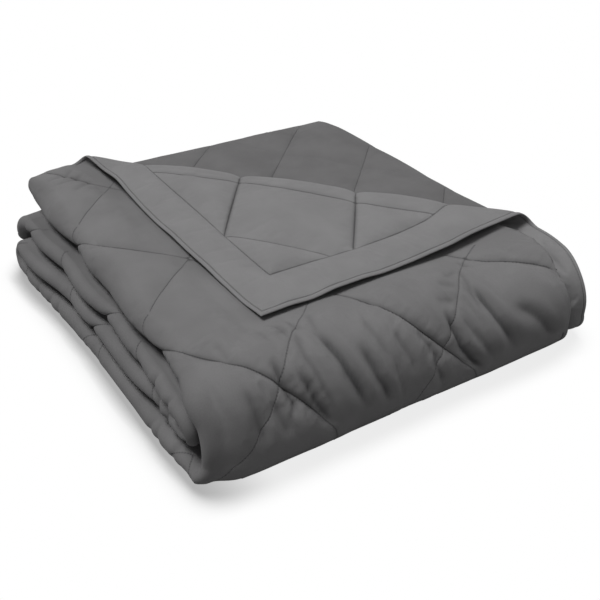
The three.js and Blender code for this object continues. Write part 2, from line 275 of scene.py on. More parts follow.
def fullness(u, v):
    """How full the fill is, from 0 on a line of stitching to 1 in the middle of a diamond."""
    edge = quilted_distance(u, v)
    beyond = beyond_corner(u, v)
    on_top = (beyond <= 0) & (u < LEFT_FOLD_END)
    diamond = np.ones_like(u)
    for row, count in zip(LAID_SEAMS, seam_counts(u, v, beyond > 0)):
        left = np.where(on_top, row["shallow"], 0)
        diamond = diamond * (left + (1 - left) * np.abs(np.sin(math.pi * count)))
    inside = np.clip((edge - BORDER_WIDTH) / BORDER_RISE, 0, 1)
    border = np.clip((edge - EDGE_BEAD) / (BORDER_WIDTH - EDGE_BEAD), 0, 1)
    plain = BORDER_LOFT * np.sqrt(np.clip(np.sin(math.pi * border), 0, 1))
    return np.where(edge < BORDER_WIDTH, plain, diamond**LOFT_ROUNDNESS * np.sqrt(inside))


def free_above(u, v):
    """The share of the outer shell's loft that is free to rise, with nothing lying on it."""
    beside = fade(u, COVER_ACROSS, COVER_ACROSS + COVER_RISE)
    before = fade(v, COVER_ALONG, COVER_ALONG + COVER_RISE)
    open_cover = 1 - (1 - beside) * (1 - before)
    end = 1 - fade(v, BOTTOM_RUN_END - 40, BOTTOM_RUN_END)
    side = 1 - fade(u, TOP_LAYER_END + 10, LEFT_FOLD_END)
    outside = (u <= LEFT_FOLD_END) & (v <= BOTTOM_RUN_END)
    inner = (u > INNER_LAYER_START) & (v < TOP_RUN_END)
    bared = BARED_LOFT * (1 - fade(u - INNER_LAYER_START + v, CORNER_SUM - 90, CORNER_SUM - 40))
    free = np.where(outside, open_cover * end * side, np.where(inner, bared, 0))
    return np.where(beyond_corner(u, v) > 0, 0, free)


def free_below(u, v):
    """The share of the under shell's loft that is free to rise, which is so on the turned-back corner."""
    return fade(beyond_corner(u, v), 0, math.pi * CORNER_ROLL)


# The creases that show: how deep and how wide each one is, and its path on the flat cloth. All are pressed
# in by the same share, with a low flank on both sides, and painted shade darkens the bottom of the deep
# ones.
CREASES = [
    (4.2, 5.6, [(463, 546), (458, 575), (447, 602)]),
    (4.2, 5.6, [(439, 562), (426, 593), (404, 624)]),
    (2.6, 5.6, [(417, 522), (424, 556), (416, 584), (396, 616)]),
    (6.0, 6.2, [(395, 532), (388, 557), (381, 580), (357, 620)]),
    (4.4, 5.6, [(359, 558), (345, 594), (321, 628)]),
    (1.8, 5.6, [(386, 494), (394, 547)]),
    (1.8, 7.0, [(338, 540), (326, 586)]),
    (2.0, 7.0, [(308, 556), (290, 606)]),
    (3.0, 5.6, [(273, 566), (261, 587), (248, 610)]),
    (3.0, 5.6, [(258, 594), (244, 640)]),
    (5.8, 5.6, [(227, 558), (216, 598), (200, 616), (177, 640)]),
    (2.4, 6.0, [(207, 568), (192, 593), (169, 622)]),
    (5.4, 6.0, [(171, 543), (165, 563), (158, 584), (134, 624)]),
    (3.4, 5.6, [(134, 573), (117, 599), (93, 630)]),
    (2.0, 6.0, [(169, 520), (176, 550), (174, 577)]),
    (2.4, 5.6, [(144, 484), (133, 510)]),
    (2.0, 5.6, [(158, 500), (145, 522)]),
    (1.6, 5.6, [(174, 521), (201, 529)]),
    (1.6, 5.6, [(190, 541), (216, 531)]),
    (1.8, 5.6, [(202, 555), (232, 549)]),
    (1.6, 4.4, [(37, 448), (30, 498)]),
    (1.4, 4.4, [(18, 462), (26, 522)]),
    (1.6, 5.6, [(34, 510), (30, 556)]),
    (2.2, 5.0, [(446, 460), (425, 542)]),
    (2.0, 5.0, [(431, 468), (407, 538)]),
    (1.6, 5.6, [(462, 480), (450, 536)]),
    (1.3, 5.6, [(514, 498), (498, 548)]),
    (2.2, 6.0, [(507, 562), (501, 592), (488, 618)]),
    (2.4, 5.6, [(479, 580), (463, 616)]),
    (1.3, 4.5, [(548, 700), (560, 694), (574, 690)]),
    (1.3, 4.5, [(549, 722), (562, 732), (573, 738)]),
    (1.3, 4.5, [(550, 752), (572, 744)]),
    (1.3, 4.5, [(549, 1020), (573, 1030)]),
    (1.3, 4.5, [(549, 1052), (573, 1046)]),
    (1.3, 4.5, [(549, 1085), (573, 1092)]),
    (2.2, 4.5, [(550, 1610), (572, 1618)]),
    (2.4, 4.5, [(550, 1640), (572, 1634)]),
    (2.4, 4.5, [(549, 1745), (573, 1738)]),
    (2.2, 4.5, [(549, 1775), (573, 1783)]),
    (1.3, 4.6, [(474, 24), (548, 42)]),
    (1.2, 4.6, [(472, 42), (540, 64)]),
    (1.0, 4.6, [(468, 60), (520, 92)]),
]
CREASE_PRESS = 1.25
CREASE_FLANK = 0.25
CREASE_FULL_SHADE_DEPTH = 5.0
CREASE_BEND = 2.0
CREASE_BEND_REACH = 30.0


def soft_noise(x, y, seed):
    """Smooth uneven values between -1 and 1."""
    table = np.random.default_rng(seed).uniform(-1, 1, (64, 64))
    i, j = np.floor(x).astype(int), np.floor(y).astype(int)
    across, along = fade(x - i, 0, 1), fade(y - j, 0, 1)
    low = table[i % 64, j % 64] * (1 - across) + table[(i + 1) % 64, j % 64] * across
    high = table[i % 64, (j + 1) % 64] * (1 - across) + table[(i + 1) % 64, (j + 1) % 64] * across
    return low * (1 - along) + high * along


# The gathers: how far they reach from the stitching, where they start, and their spacing along it.
GATHER_REACH = 13
GATHER_SPREAD = 6
GATHER_START = 2.6
GATHER_FINE = 6.5
GATHER_BROAD = 15
BORDER_GATHERS = 0.8


def gathers(away, run, line):
    """Short gathers beside a line of stitching, at a distance away from it and a run along it."""
    strength = 0.55 + 0.45 * soft_noise(run / 48, line * 5.3, 11)
    reach = GATHER_REACH + GATHER_SPREAD * soft_noise(run / 30, line * 2.9, 12)
    beside = np.exp(-np.abs(away) / reach) * (1 - np.exp(-np.abs(away) / GATHER_START))
    fine = soft_noise(run / GATHER_FINE + away / 40, line * 3.7 + away / 60, 13)
    broad = soft_noise(run / GATHER_BROAD - away / 50, line * 4.1 + away / 90, 14)
    return (fine + 0.9 * broad) * strength * beside


def seam_gathers(u, v):
    """The gathers of all seams and of the line that holds the border."""
    turned_back = beyond_corner(u, v) > 0
    total = np.zeros_like(u)
    for k, count in enumerate(seam_counts(u, v, turned_back)):
        row = LAID_SEAMS[k]
        steep = math.hypot(1 / row["across"], 1 / row["along"])
        run = (v / row["across"] - u / row["along"]) / steep
        line = np.round(count)
        total += gathers((count - line) / steep, run, line + 20 * k)
    total *= fade(quilted_distance(u, v), BORDER_WIDTH - 4, BORDER_WIDTH + 12)
    total += BORDER_GATHERS * gathers(u - BORDER_WIDTH, v, np.full_like(u, 51.0))
    total += BORDER_GATHERS * gathers(v - BORDER_WIDTH, u, np.full_like(u, 52.0)) * turned_back
    total += BORDER_GATHERS * gathers(u - (WIDTH - BORDER_WIDTH), v, np.full_like(u, 53.0))
    return total


def crease_relief(u, v):
    """The relief of the creases, and the share of painted shade along the bottom of each."""
    bent_u = u + CREASE_BEND * soft_noise(u / CREASE_BEND_REACH, v / CREASE_BEND_REACH, 21)
    bent_v = v + CREASE_BEND * soft_noise(u / CREASE_BEND_REACH, v / CREASE_BEND_REACH, 22)
    total, crease_shade_share = np.zeros_like(u), np.zeros_like(u)
    for depth, width, points in CREASES:
        path = np.array(points, float)
        lengths = np.linalg.norm(np.diff(path, axis=0), axis=1)
        away = np.full_like(u, 1e6)
        share = np.zeros_like(u)
        for k, length in enumerate(lengths):
            step = (path[k + 1] - path[k]) / length
            run = np.clip((bent_u - path[k][0]) * step[0] + (bent_v - path[k][1]) * step[1], 0, length)
            off = np.hypot(bent_u - path[k][0] - run * step[0], bent_v - path[k][1] - run * step[1])
            share = np.where(off < away, (lengths[:k].sum() + run) / lengths.sum(), share)
            away = np.minimum(away, off)
        away = away / width
        along = rise_and_fall(share, 0, 0.25, 0.7, 1)
        trough = -np.exp(-(away**1.3)) + CREASE_FLANK * np.exp(-((away - 2.0) ** 2) / 1.2)
        total += CREASE_PRESS * depth * along * trough
        crease_shade_share = np.maximum(crease_shade_share, depth / CREASE_FULL_SHADE_DEPTH * along * np.exp(-3.2 * away**2))
    return total, np.minimum(crease_shade_share, 1)


DRAWN_FOLD_LENGTH = 62
DRAWN_FOLD_PITCH = 10.5
DRAWN_FOLD_LEAN = (0.94, 0.33)


def drawn_folds(u, v):
    """Long soft folds that run down the front, drawn by the pull of the seams."""
    upright, slant = DRAWN_FOLD_LEAN
    along = (-slant * u + upright * v) / DRAWN_FOLD_LENGTH
    across = (upright * u + slant * v) / DRAWN_FOLD_PITCH
    return soft_noise(across, along, 31) + 0.6 * soft_noise(across * 2.1, along * 1.7, 32)


def seam_slopes(k, turned_back):
    """How fast the count of one family's seams grows across and along the cloth."""
    ways = [(CORNER_SEAMS[k][way], LAID_SEAMS[k][way]) for way in ("across", "along")]
    return [np.where(turned_back, 1 / corner, 1 / laid) for corner, laid in ways]


def seam_distances(u, v):
    """How far each place is from the nearest falling and rising seam, and how far along it."""
    turned_back = beyond_corner(u, v) > 0
    distances = []
    for k, count in enumerate(seam_counts(u, v, turned_back)):
        slope_u, slope_v = seam_slopes(k, turned_back)
        steep = np.hypot(slope_u, slope_v)
        distances.append((np.abs(count - np.round(count)) / steep, (v * slope_u - u * slope_v) / steep))
    return distances


def stitch_lines(u, v):
    """How far each place is from the nearest line of stitching, and how far along that line."""
    edge = quilted_distance(u, v)
    by_side = np.minimum(u, WIDTH - u) < np.minimum(v, LENGTH - v)
    lines = [(np.abs(edge - line), np.where(by_side, v, u)) for line in (BORDER_WIDTH, EDGE_BEAD)]
    for k, (away, run) in enumerate(seam_distances(u, v)):
        unseen = (edge < BORDER_WIDTH) | ((u > INNER_LAYER_START) & (k == 0))
        lines.append((np.where(unseen, WIDTH, away), run))
    away = np.stack([line[0] for line in lines])
    run = np.stack([line[1] for line in lines])
    nearest = away.argmin(0)[None]
    return np.take_along_axis(away, nearest, 0)[0], np.take_along_axis(run, nearest, 0)[0]


# The fill that pressing leaves, as shares, and the heights of the soft forms of the shells. Each form fades
# out over the distances, in millimetres on the flat cloth, that its function gives.
TIGHT_FOLD_FILL = 0.62
LAID_FILL = 0.72
SQUEEZE_GAIN = 2.8
TIGHT_SQUEEZE = 0.9
BEAD_HEIGHT = 2.2
BEAD_DROP = 1.0
FLOOR_FILL_LEFT = 0.7
FLOOR_FILL_FRONT = 0.8
FLOOR_EVENNESS = 0.8
KNIFE_REACH = 24.0
KNIFE_PRESS = 0.25
KNIFE_PRESS_FRONT = 0.35
NEAR_LEFT_FLATTER = 0.5
UNEVEN_BROAD = 0.16
UNEVEN_FINE = 0.08
GATHER_HEIGHT = 0.85
GATHER_GAIN_LEFT = 2
GATHER_GAIN_CORNER = 1.1
DRAWN_FOLD_HEIGHT = 0.9
CORNER_LOFT = 0.8
LEFT_PUFF = 6.4
LEFT_PUFF_LOST_IN_FRONT = 5.8
LEFT_PUFF_LOST_ON_FLOOR = 3.6
STRIP_SET_IN = 9.0
RIGHT_OVERHANG = 36.0
OVERHANG_LIFT = 4.0
OVERHANG_FROM_STRIP = 0.4
SEAM_VALLEY = 6.0
SINK_TOP = 0.8
SINK_FRONT = 2.6
SINK_LEFT = 1.8
SINK_CORNER_FALLING = 1.2
SINK_CORNER_RISING = 2.6
SINK_CORNER_BORDER = 1.2

# The front's upper bend is squarer towards the left: how far it stands out, from right to left.
SQUARE_RIGHT = -3
SQUARE_STEP = 6
SQUARE_MIDDLE = 558
SQUARE_REACH = 25


def on_bottom_run(v):
    """1 on the run that lies on the floor, and less towards its two ends."""
    return rise_and_fall(v, FRONT_END - 60, FRONT_END - 8, BOTTOM_RUN_END - 30, BOTTOM_RUN_END)


def on_rounded_front(v):
    """1 on the rounded front and the edge of the top, and less past the floor's edge."""
    return rise_and_fall(v, TOP_RUN_END - 60, TOP_RUN_END, FRONT_END, FRONT_END + 60)


def near_floor(v):
    """1 where the front meets the floor and on all that follows, and 0 above."""
    return fade(v, FRONT_END - 70, FRONT_END - 22)


def round_left_fold(u, v):
    """1 at the outermost line of the left fold, and 0 on the layers."""
    return np.sin(np.clip((u - TOP_LAYER_END) / LAYER_PITCH, 0, math.pi)) * (beyond_corner(u, v) <= 0)


def seen_outside(u, v):
    """1 where the outer shell shows: on top, in front and round the left fold."""
    return np.clip(1.6 * free_above(u, v) + round_left_fold(u, v), 0, 1)


def from_right_side(u):
    """How far a place on any layer lies from the blanket's right side."""
    return np.where(u > LEFT_FOLD_END, np.maximum(np.abs(u - RIGHT_FOLD_START) - 15, 0), u)


def pressed_fill(u, v):
    """How full each place is and how thick its fill is, first inside the stack and then outside."""
    full = fullness(u, v)
    edge = edge_distance(u, v)
    tight = (u > RIGHT_FOLD_START - 6) & (u < INNER_LAYER_START + 6)
    squeezed = along_column("squeeze", v) - TIGHT_SQUEEZE
    pressed = np.where(tight, TIGHT_FOLD_FILL, LAID_FILL + SQUEEZE_GAIN * squeezed)
    round_edge = np.sqrt(np.clip(1 - (1 - edge / EDGE_BEAD) ** 2, 0.02, 1))
    rim = BEAD_HEIGHT * round_edge - BEAD_DROP * fade(edge, 0.5 * EDGE_BEAD, EDGE_BEAD)
    bead = np.where(edge < EDGE_BEAD, rim, SEAM_HALF)
    by_left = fade(u, TOP_LAYER_END - 40, TOP_LAYER_END) * (u < LEFT_FOLD_END + 20)
    full = full + (FLOOR_FILL_LEFT - full) * FLOOR_EVENNESS * on_bottom_run(v) * by_left
    knife = round_left_edge(u, KNIFE_REACH)
    pressed = pressed * (1 - knife * (KNIFE_PRESS + KNIFE_PRESS_FRONT * at_front(v)))
    fill = bead + (FILL_HALF - SEAM_HALF) * full * pressed
    in_front = (edge > BORDER_WIDTH) * (u < LEFT_FOLD_END)
    full_outside = full + (FLOOR_FILL_FRONT - full) * near_floor(v) * in_front
    return full, fill, full_outside, fill + (FILL_HALF - SEAM_HALF) * (full_outside - full) * pressed


def fill_and_loft(u, v):
    """How far the outer and the under shell stand off from the middle of the cloth."""
    full, fill, full_outside, fill_outside = pressed_fill(u, v)
    uneven = 1 + UNEVEN_BROAD * soft_noise(u / 70, v / 70, 1) + UNEVEN_FINE * soft_noise(u / 24, v / 24, 2)
    free_out = free_above(u, v)
    free_in = free_below(u, v)
    at_left_fold = round_left_fold(u, v)
    rumple = GATHER_HEIGHT * seam_gathers(u, v) * fade(full, 0.02, 0.12)
    on_laid_top = (u < TOP_LAYER_END) & (beyond_corner(u, v) <= 0)
    rumple *= np.where(on_laid_top, fade(u, BORDER_WIDTH + 10, BORDER_WIDTH + 40), 1)
    rumple *= 1 + GATHER_GAIN_LEFT * at_left_fold
    folds = DRAWN_FOLD_HEIGHT * on_rounded_front(v) * drawn_folds(u, v)
    folds = folds * fade(full, 0.1, 0.5) * (1 - near_floor(v))
    flatter = 1 - NEAR_LEFT_FLATTER * at_front(v) * fade(u, 480, TOP_LAYER_END)
    loft = FREE_LOFT * full_outside * uneven * free_out * flatter
    above = fill_outside + loft + seen_outside(u, v) * (rumple + folds)
    lost = LEFT_PUFF_LOST_IN_FRONT * fade(v, TOP_RUN_END, FRONT_END) * (v < FRONT_END + 40)
    puff = LEFT_PUFF - lost - LEFT_PUFF_LOST_ON_FLOOR * on_bottom_run(v)
    above += at_left_fold * puff * full * uneven * (1 - free_out)
    below = fill + FREE_LOFT * full * uneven * free_in * CORNER_LOFT + GATHER_GAIN_CORNER * free_in * rumple
    return above, below


def sunk_seams(u, v):
    """How far the stitching draws in the outer shell, the turned-back corner and the left fold."""
    falling, rising = [np.exp(-away / SEAM_VALLEY) for away, _ in seam_distances(u, v)]
    quilted = fade(quilted_distance(u, v), BORDER_WIDTH - 1, BORDER_WIDTH + 3)
    border_line = np.exp(-np.abs(quilted_distance(u, v) - BORDER_WIDTH) / SEAM_VALLEY)
    clear_of_strip = free_above(u, v) * fade(u, BORDER_WIDTH + 8, BORDER_WIDTH + 40)
    on_top = (SINK_TOP + SINK_FRONT * on_rounded_front(v)) * falling + SINK_TOP * rising
    sunk_out = clear_of_strip * on_top * (1 - near_floor(v))
    free_in = free_below(u, v)
    on_corner = quilted * (SINK_CORNER_FALLING * falling + SINK_CORNER_RISING * rising)
    sunk_in = free_in * (on_corner + SINK_CORNER_BORDER * border_line)
    at_left = SINK_LEFT * round_left_fold(u, v) * np.maximum(falling, rising)
    return sunk_out, sunk_in, at_left * (1 - free_above(u, v)) * (1 - on_bottom_run(v))


# How the turned-back corner has settled: how far each move reaches across and along, and how far it goes
# to the right, to the back and up.
DROOP_REACH = (85, 72)
DROOP_MOVE = (26, 0, -14)
PERK_REACH = (70, 80)
PERK_MOVE = (-14, 0, 4)
BOW_MIDDLE = 290
BOW_REACH = (260, 160)
BOW_MOVE = (-18, -27, 0)
RIPPLE_HEIGHT = 2.2
RIPPLE_LENGTH = 40


def corner_moves(u, v):
    """Where the turned-back corner droops at the right, perks up at the left, bows and ripples."""
    from_right = from_right_side(u)
    droop = np.exp(-((from_right / DROOP_REACH[0]) ** 2) - ((v - CORNER_SUM) / DROOP_REACH[1]) ** 2)
    perk = np.exp(-(((u - CORNER_SUM) / PERK_REACH[0]) ** 2) - (v / PERK_REACH[1]) ** 2)
    bow = np.exp(-(((v - BOW_MIDDLE) / BOW_REACH[1]) ** 2)) * (0.6 + 0.4 * fade(u, 0, BORDER_WIDTH))
    bow = bow * (1 - fade(u, BORDER_WIDTH, BOW_REACH[0])) * fade(beyond_corner(u, v), 0, 60)
    uneven = soft_noise(u / RIPPLE_LENGTH, v / RIPPLE_LENGTH, 41)
    ripple = (RIPPLE_HEIGHT * uneven - RIPPLE_HEIGHT) * free_below(u, v)
    moves = droop[..., None] * DROOP_MOVE + perk[..., None] * PERK_MOVE + bow[..., None] * BOW_MOVE
    moves[..., 2] += ripple * (1 - fade(edge_distance(u, v), 20, 90))
    return moves


def strip_set_in(u, v):
    """How far the border strip down the right side lies below the quilting beside it."""
    away = from_right_side(u)
    set_in = STRIP_SET_IN * fade(away, -6, 52) * (1 - fade(away, BORDER_WIDTH - 2, BORDER_WIDTH))
    before_back = (1 - fade(v, BOTTOM_RUN_END - 60, BOTTOM_RUN_END)) * (v < BOTTOM_RUN_END)
    return set_in * fade(v, CORNER_SUM - 50, CORNER_SUM) * before_back


def shell_places(u, v):
    """Both shells at each place on the cloth, pressed flat where the blanket lies on the floor."""
    normal = facing(u, v)
    above, below = fill_and_loft(u, v)
    sunk_out, sunk_in, sunk_left = sunk_seams(u, v)
    middle = middle_place(u, v) - normal * strip_set_in(u, v)[..., None]
    middle = middle + normal * (sunk_in - sunk_out)[..., None]
    above -= sunk_left
    by_right = rise_and_fall(v, CORNER_SUM - 60, CORNER_SUM - 15, FRONT_END - 10, FRONT_END + 40)
    lip = fade(u, BORDER_WIDTH, BORDER_WIDTH + 14)
    overhang = OVERHANG_FROM_STRIP * fade(u, 8, BORDER_WIDTH) + (1 - OVERHANG_FROM_STRIP) * lip
    overhang *= RIGHT_OVERHANG * by_right * (1 - fade(u, BORDER_WIDTH + 18, BORDER_WIDTH + 90))
    raised = rise_and_fall(u, BORDER_WIDTH, BORDER_WIDTH + 12, BORDER_WIDTH + 20, BORDER_WIDTH + 75)
    above += OVERHANG_LIFT * by_right * raised * (1 - near_floor(v))
    square = SQUARE_RIGHT + SQUARE_STEP * fade(u, 130, 330) + SQUARE_STEP * fade(u, 380, 490)
    square = square * np.exp(-(((v - SQUARE_MIDDLE) / SQUARE_REACH) ** 2)) * fade(u, 0, 60)
    above += square * (1 - fade(u, TOP_LAYER_END + 6, LEFT_FOLD_END))
    moved = corner_moves(u, v)
    outer = middle + normal * above[..., None] + moved
    outer[..., 0] += overhang
    under = middle - normal * below[..., None] + moved
    outer[..., 2] = np.where(outer[..., 2] < FLOOR_PRESS, 0, outer[..., 2])
    return outer, under


# The flat cloth is parted into cells, and a cell that shows is parted again, into up to 8 by 8.
PARTS = 8


def part_lines(rows):
    lines = [0.0]
    for row in rows:
        count = row["cells"] * PARTS
        lines += list(lines[-1] + row_length(row) * np.arange(1, count + 1) / count)
    return np.array(lines)


U_LINES = part_lines(FOLD_ACROSS)
V_LINES = part_lines(FOLD_ALONG)
cell_u = (U_LINES[:-1:PARTS] + U_LINES[PARTS::PARTS]) / 2
cell_v = (V_LINES[:-1:PARTS] + V_LINES[PARTS::PARTS]) / 2
u_mid, v_mid = np.meshgrid(cell_u, cell_v, indexing="ij")
cell_reach = 15.0
top_or_front = (u_mid < LEFT_FOLD_END + 20) & (v_mid < FRONT_END + 20)
corner_sum = u_mid + v_mid
turned = (u_mid < TOP_LAYER_END) & (v_mid < TOP_RUN_END) & (corner_sum < CORNER_SUM + cell_reach)
rolled = turned & (corner_sum > CORNER_SUM - 60)
covered = (u_mid < COVER_ACROSS - cell_reach) & (v_mid < COVER_ALONG - cell_reach) & ~turned
bared = (u_mid > INNER_LAYER_START) & (u_mid - INNER_LAYER_START + v_mid < CORNER_SUM + 20)
left_side = (u_mid > TOP_LAYER_END) & (u_mid < LEFT_FOLD_END)
right_side = (u_mid < BORDER_WIDTH) | ((u_mid > RIGHT_FOLD_START - 20) & (u_mid < INNER_LAYER_START + 20))
back_side = (v_mid < BORDER_WIDTH) | (v_mid > LENGTH - BORDER_WIDTH)
back_side |= (v_mid > BOTTOM_RUN_END) & (v_mid < reach_of(FOLD_ALONG, "back fold"))
at_edge = (edge_distance(u_mid, v_mid) < EDGE_BEAD) | (v_mid > V_LINES[-1 - PARTS])
near_right_edge = (u_mid < EDGE_BEAD) & (v_mid > TOP_RUN_END - 60) & (v_mid < FRONT_END + 40)

outer_parts = np.ones(u_mid.shape, int)
outer_parts[right_side | back_side] = 2
on_top_run = (v_mid > BORDER_WIDTH + 40) & (v_mid < TOP_RUN_END - 80)
shown_top = top_or_front & ~covered & ~turned
below_front = v_mid > FRONT_END - 10
outer_parts[shown_top | bared] = PARTS // 2
outer_parts[top_or_front & below_front] = 2
outer_parts[(shown_top & ~on_top_run & ~below_front) | rolled | left_side] = PARTS
under_parts = np.ones(u_mid.shape, int)
under_parts[left_side | right_side | back_side] = 2
under_parts[turned] = PARTS
edge_parts = np.maximum(outer_parts, under_parts)
edge_parts[near_right_edge] = PARTS
outer_parts[at_edge] = edge_parts[at_edge]
under_parts[at_edge] = edge_parts[at_edge]


def shell_polygons(parts):
    """The corner numbers, in lines across and along, of each polygon of one shell."""
    used = np.zeros((len(U_LINES), len(V_LINES)), bool)
    for (i, j), count in np.ndenumerate(parts):
        step = PARTS // count
        used[i * PARTS : (i + 1) * PARTS + 1 : step, j * PARTS : (j + 1) * PARTS + 1 : step] = True
    polygons = []
    for (i, j), count in np.ndenumerate(parts):
        step = PARTS // count
        for a in range(i * PARTS, (i + 1) * PARTS, step):
            for b in range(j * PARTS, (j + 1) * PARTS, step):
                ring = [(a + k, b) for k in range(step)]
                ring += [(a + step, b + k) for k in range(step)]
                ring += [(a + step - k, b + step) for k in range(step)]
                ring += [(a, b + step - k) for k in range(step)]
                polygons.append([corner for corner in ring if used[corner]])
    return used, polygons


outer_used, outer_polygons = shell_polygons(outer_parts)
under_used, under_polygons = shell_polygons(under_parts)
outer_number = np.full(outer_used.shape, -1)
outer_number[outer_used] = np.arange(outer_used.sum())
under_number = np.full(under_used.shape, -1)
under_number[under_used] = outer_used.sum() + np.arange(under_used.sum())


def finest_parts(parts):
    """The finest parting among the cells that meet at each corner."""
    fine = np.repeat(np.repeat(parts, PARTS, 0), PARTS, 1)
    fine = np.pad(fine, 1, mode="edge")
    meeting = [fine[:-1, :-1], fine[1:, :-1], fine[:-1, 1:], fine[1:, 1:]]
    return np.max(meeting, axis=0)


# Mesh corners close to a seam are moved onto it, and the seams of the corner get numbers of their own.
SNAP_FINE = 1.3
SNAP_HALF = 2.6
SNAP_ROUNDS = 3
LAID_NUMBERS = 50
CORNER_NUMBERS = 100


def lie_on_seams(u, v, close):
    """Moves the places that lie close to a seam onto it, and numbers the seams that each one lies on."""
    turned_back = beyond_corner(u, v) > 0
    quilted = quilted_distance(u, v) > BORDER_WIDTH + 1
    on_seam = []
    for k in (0, 1):
        slope_u, slope_v = seam_slopes(k, turned_back)
        steep = slope_u**2 + slope_v**2
        near = np.zeros(u.shape, bool)
        sunk = (u > INNER_LAYER_START) & (k == 0)
        for _ in range(SNAP_ROUNDS):
            count = seam_counts(u, v, turned_back)[k]
            off = count - np.round(count)
            near = quilted & ~sunk & (np.abs(off) / np.sqrt(steep) < close)
            u = np.where(near, u - off * slope_u / steep, u)
            v = np.where(near, v - off * slope_v / steep, v)
        number = np.round(count).astype(int) + LAID_NUMBERS + CORNER_NUMBERS * turned_back
        on_seam.append(np.where(near, number, -1))
    return u, v, on_seam


outer_at = np.argwhere(outer_used)
under_at = np.argwhere(under_used)
flat_u = U_LINES[np.concatenate([outer_at[:, 0], under_at[:, 0]])]
flat_v = V_LINES[np.concatenate([outer_at[:, 1], under_at[:, 1]])]
fine = np.concatenate([finest_parts(outer_parts)[outer_used], finest_parts(under_parts)[under_used]])
snap = np.where(fine == PARTS, SNAP_FINE, np.where(fine == PARTS // 2, SNAP_HALF, 0))
flat_u, flat_v, on_seam = lie_on_seams(flat_u, flat_v, snap)
count_outer = len(outer_at)
outer_places, _ = shell_places(flat_u[:count_outer], flat_v[:count_outer])
_, under_places = shell_places(flat_u[count_outer:], flat_v[count_outer:])
places = np.concatenate([outer_places, under_places])


def along_seams(ring):
    """Parts a square across the corners that a seam joins."""
    if len(ring) != 4:
        return [ring]
    a, b, c, d = ring
    for seam in on_seam:
        if seam[a] >= 0 and seam[a] == seam[c]:
            return [[a, b, c], [a, c, d]]
        if seam[b] >= 0 and seam[b] == seam[d]:
            return [[b, c, d], [b, d, a]]
    return [ring]


rings = [[outer_number[corner] for corner in ring] for ring in outer_polygons]
rings += [[under_number[corner] for corner in reversed(ring)] for ring in under_polygons]
faces = [face for ring in rings for face in along_seams(ring)]
last_u, last_v = len(U_LINES) - 1, len(V_LINES) - 1
rim = [(i, 0) for i in range(last_u)] + [(last_u, j) for j in range(last_v)]
rim += [(i, last_v) for i in range(last_u, 0, -1)] + [(0, j) for j in range(last_v, 0, -1)]
rim = [corner for corner in rim if outer_used[corner]]
for here, there in zip(rim, rim[1:] + rim[:1]):
    faces.append([outer_number[there], outer_number[here], under_number[here], under_number[there]])

STACK_MIDDLE = (-2.0, 6.9)
places[:, 0] -= STACK_MIDDLE[0]
places[:, 1] -= STACK_MIDDLE[1]
blanket_mesh = bpy.data.meshes.new("quilted_blanket_cloth")
blanket_mesh.from_pydata((places * MM).tolist(), [], faces)
blanket_mesh.update()
blanket = bpy.data.objects.new("quilted_blanket_cloth", blanket_mesh)
bpy.context.scene.collection.objects.link(blanket)

# The fill swells the cloth between its lines of stitching. The faces that nothing lies on are copied to a
# cloth of their own, held along the stitching and let swell, and the blanket takes up their new places.
SWELL_FRAMES = 20
SWELL_CAP = 6.0
EVEN_SHARE = 0.65
LOOSE_SHARE = 0.3
SEWN_CLOSE = 0.01
SWELL_SETTINGS = {
    "quality": 4,
    "mass": 0.02,
    "tension_stiffness": 20,
    "compression_stiffness": 20,
    "shear_stiffness": 8,
    "bending_stiffness": 0.05,
    "tension_damping": 10,
    "compression_damping": 10,
    "shear_damping": 8,
    "bending_damping": 0.5,
    "air_damping": 3,
    "shrink_min": -0.013,
    "shrink_max": 0.0,
    "vertex_group_shrink": "even",
    "vertex_group_mass": "hold",
    "use_pressure": True,
    "uniform_pressure_force": 4,
}
open_share = free_above(flat_u, flat_v)
open_share[count_outer:] = free_below(flat_u[count_outer:], flat_v[count_outer:])
loose = (fine >= PARTS // 2) & (open_share > LOOSE_SHARE)
loose_faces = [face for face in faces if loose[face].all()]
loose_at = np.unique(np.concatenate(loose_faces))
loose_number = np.full(len(places), -1)
loose_number[loose_at] = np.arange(len(loose_at))
swell_mesh = bpy.data.meshes.new("swelling_cloth")
loose_rings = [loose_number[face].tolist() for face in loose_faces]
swell_mesh.from_pydata((places[loose_at] * MM).tolist(), [], loose_rings)
swell_mesh.update()
swell = bpy.data.objects.new("swelling_cloth", swell_mesh)
bpy.context.scene.collection.objects.link(swell)
held = ((on_seam[0][loose_at] >= 0) | (on_seam[1][loose_at] >= 0)) & (flat_v[loose_at] < FRONT_END - 30)
stitched = quilted_distance(flat_u, flat_v)[loose_at]
held |= (np.abs(stitched - BORDER_WIDTH) < SEWN_CLOSE) | (stitched < EDGE_BEAD + SEWN_CLOSE)
sides = np.concatenate([np.sort(np.stack([face, np.roll(face, 1)], -1), -1) for face in loose_faces])
sides, times = np.unique(sides, axis=0, return_counts=True)
held[loose_number[np.unique(sides[times == 1])]] = True
hold = swell.vertex_groups.new(name="hold")
hold.add(np.flatnonzero(held).tolist(), 1.0, "REPLACE")
even = swell.vertex_groups.new(name="even")
calm = (loose_at >= count_outer) | (flat_v[loose_at] < TOP_RUN_END - 40)
even.add(np.flatnonzero(calm).tolist(), EVEN_SHARE, "REPLACE")
billow = swell.modifiers.new("billow", "CLOTH")
for setting, value in SWELL_SETTINGS.items():
    setattr(billow.settings, setting, value)
billow.settings.effector_weights.gravity = 0
billow.collision_settings.use_collision = False
billow.point_cache.frame_start = 1
billow.point_cache.frame_end = SWELL_FRAMES
for moment in range(1, SWELL_FRAMES + 1):
    bpy.context.scene.frame_set(moment)
swollen = swell.evaluated_get(bpy.context.evaluated_depsgraph_get())
settled = np.empty(len(loose_at) * 3)
swollen.to_mesh().vertices.foreach_get("co", settled)
swollen.to_mesh_clear()
